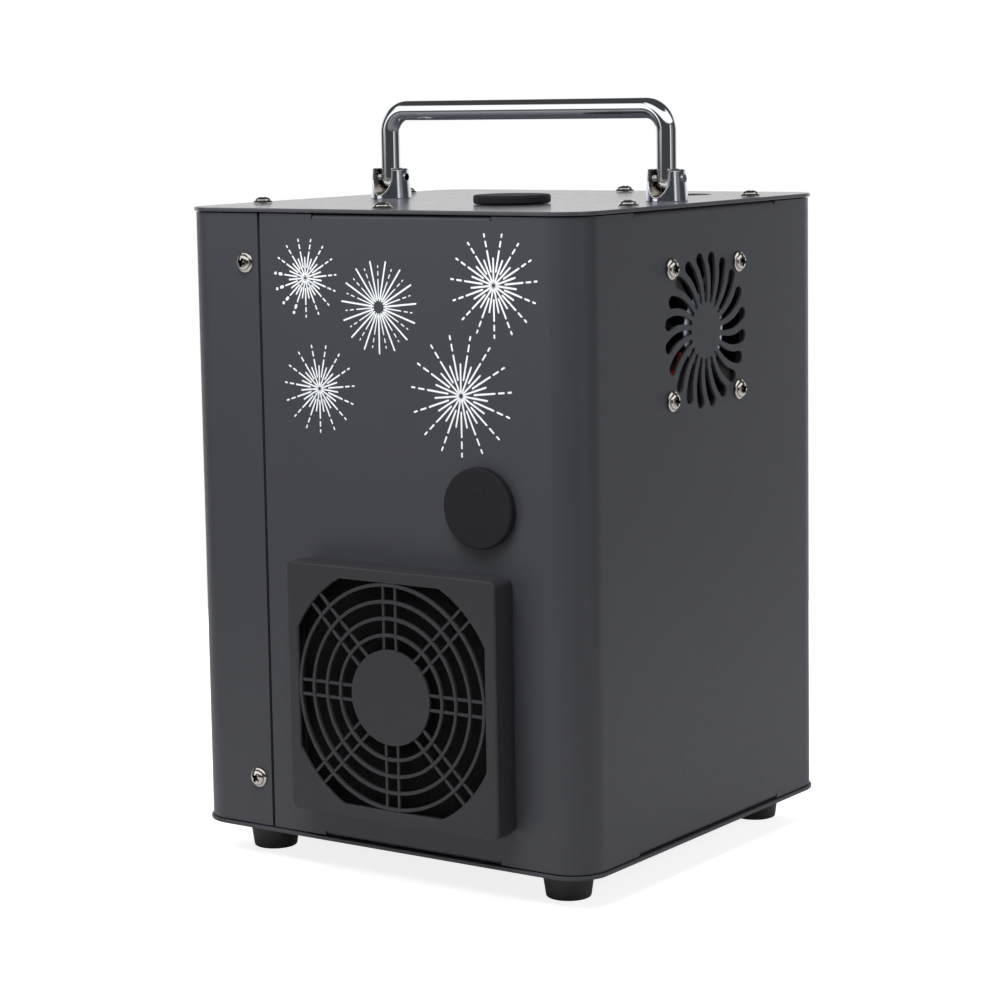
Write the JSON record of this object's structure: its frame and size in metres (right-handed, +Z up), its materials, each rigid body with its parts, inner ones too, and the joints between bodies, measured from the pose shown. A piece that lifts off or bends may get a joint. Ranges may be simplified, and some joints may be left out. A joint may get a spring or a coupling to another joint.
{
  "type": "cold spark machine",
  "caption": "Stage cold spark machine: upright sheet-steel case on rubber feet with a folding handle, filler cap, front filter, swirl vent and rear control panel.",
  "frame": {"origin": "middle of the whole machine's box on the floor, under its feet", "axes": "+X to the machine's right side with the vent, as seen from the front; +Y to the back; +Z up"},
  "size_m": [0.1892, 0.1974, 0.2988],
  "materials": {
    "case_coat": "charcoal powder coat, fine texture, satin",
    "foot_rubber": "matte black",
    "nickel": "bright nickel plate",
    "guard_plastic": "charcoal, fine texture",
    "foam": "open black foam",
    "fan_plastic": "black, moulded",
    "plug_rubber": "matte black",
    "handle_chrome": "polished",
    "pin_steel": "bright",
    "hot_steel": "heat tinted",
    "pipe_brass": "plain",
    "inner_steel": "plain",
    "supply_case": "pale grey casing",
    "circuit_board": "green solder mask",
    "panel_plastic": "black",
    "display_window": "dark blue, clear front",
    "rocker_red": "red"
  },
  "bodies": {
    "case": {"main_shell": "case_coat", "side_cover": "case_coat", "top_plate": "case_coat", "bottom_plate": "case_coat", "foot_1": "foot_rubber", "foot_2": "foot_rubber", "foot_3": "foot_rubber", "foot_4": "foot_rubber", "top_screw_1": "nickel", "top_screw_2": "nickel", "top_screw_3": "nickel", "top_screw_4": "nickel", "top_screw_5": "nickel", "top_screw_6": "nickel", "filter_frame": "guard_plastic", "intake_fan_frame": "fan_plastic", "cover_screw_1": "nickel", "cover_screw_2": "nickel", "cover_screw_3": "nickel", "cover_screw_4": "nickel", "exhaust_fan_frame": "fan_plastic", "vent_screw_1": "nickel", "vent_screw_2": "nickel", "vent_screw_3": "nickel", "vent_screw_4": "nickel", "handle_post_left": "handle_chrome", "handle_pin_left": "pin_steel", "handle_post_right": "handle_chrome", "handle_pin_right": "pin_steel", "heating_barrel": "hot_steel", "heater_band": "hot_steel", "air_pipe": "pipe_brass", "blower_housing": "fan_plastic", "feed_block": "inner_steel", "feed_motor": "inner_steel", "powder_hopper": "inner_steel", "chassis_bracket": "inner_steel", "power_supply": "supply_case", "control_board": "circuit_board", "display_bezel": "panel_plastic", "display_window": "display_window", "display_board": "circuit_board", "data_in_socket": "panel_plastic", "data_out_socket": "panel_plastic", "power_inlet": "panel_plastic", "power_switch_frame": "panel_plastic"},
    "handle": {"handle_bar": "handle_chrome"},
    "intake_rotor": {"intake_fan_rotor": "fan_plastic"},
    "exhaust_rotor": {"exhaust_fan_rotor": "fan_plastic"},
    "blower_rotor": {"blower_impeller": "fan_plastic"},
    "feed_auger": {"feed_screw": "inner_steel"},
    "filter_front": {"filter_cover": "guard_plastic", "filter_foam": "foam"},
    "cap": {"filler_cap": "plug_rubber"},
    "plug": {"service_plug": "plug_rubber"},
    "rocker": {"power_rocker": "rocker_red"},
    "button_1": {"menu_button_1": "panel_plastic"},
    "button_2": {"menu_button_2": "panel_plastic"},
    "button_3": {"menu_button_3": "panel_plastic"},
    "button_4": {"menu_button_4": "panel_plastic"}
  },
  "joints": [
    {"name": "handle_fold", "type": "hinge", "parent": "case", "child": "handle", "pos_m": [0.00768, 0.00523, 0.26775], "axis": [-1, 0, 0], "range_deg": [-90, 0]},
    {"name": "intake_fan_spin", "type": "hinge", "parent": "case", "child": "intake_rotor", "pos_m": [0.01367, -0.0725, 0.0761], "axis": [0, 1, 0], "continuous": true},
    {"name": "exhaust_fan_spin", "type": "hinge", "parent": "case", "child": "exhaust_rotor", "pos_m": [0.083, 0.00373, 0.2098], "axis": [1, 0, 0], "continuous": true},
    {"name": "blower_spin", "type": "hinge", "parent": "case", "child": "blower_rotor", "pos_m": [0.02337, 0.06223, 0.1025], "axis": [0, 1, 0], "continuous": true},
    {"name": "feed_screw_spin", "type": "hinge", "parent": "case", "child": "feed_auger", "pos_m": [0.04888, 0, 0.1495], "axis": [0, 1, 0], "continuous": true},
    {"name": "filter_cover_pull", "type": "slide", "parent": "case", "child": "filter_front", "axis": [0, -1, 0], "range_m": [0, 0.03]},
    {"name": "filler_cap_pull", "type": "slide", "parent": "case", "child": "cap", "axis": [0, 0, 1], "range_m": [0, 0.02]},
    {"name": "service_plug_pull", "type": "slide", "parent": "case", "child": "plug", "axis": [0, -1, 0], "range_m": [0, 0.02]},
    {"name": "power_switch", "type": "hinge", "parent": "case", "child": "rocker", "pos_m": [-0.00983, 0.09323, 0.0525], "axis": [1, 0, 0], "range_deg": [0, 16]},
    {"name": "menu_button_1_press", "type": "slide", "parent": "case", "child": "button_1", "axis": [0, -1, 0], "range_m": [0, 0.001], "stiffness_N_per_m": 500},
    {"name": "menu_button_2_press", "type": "slide", "parent": "case", "child": "button_2", "axis": [0, -1, 0], "range_m": [0, 0.001], "stiffness_N_per_m": 500},
    {"name": "menu_button_3_press", "type": "slide", "parent": "case", "child": "button_3", "axis": [0, -1, 0], "range_m": [0, 0.001], "stiffness_N_per_m": 500},
    {"name": "menu_button_4_press", "type": "slide", "parent": "case", "child": "button_4", "axis": [0, -1, 0], "range_m": [0, 0.001], "stiffness_N_per_m": 500}
  ]
}
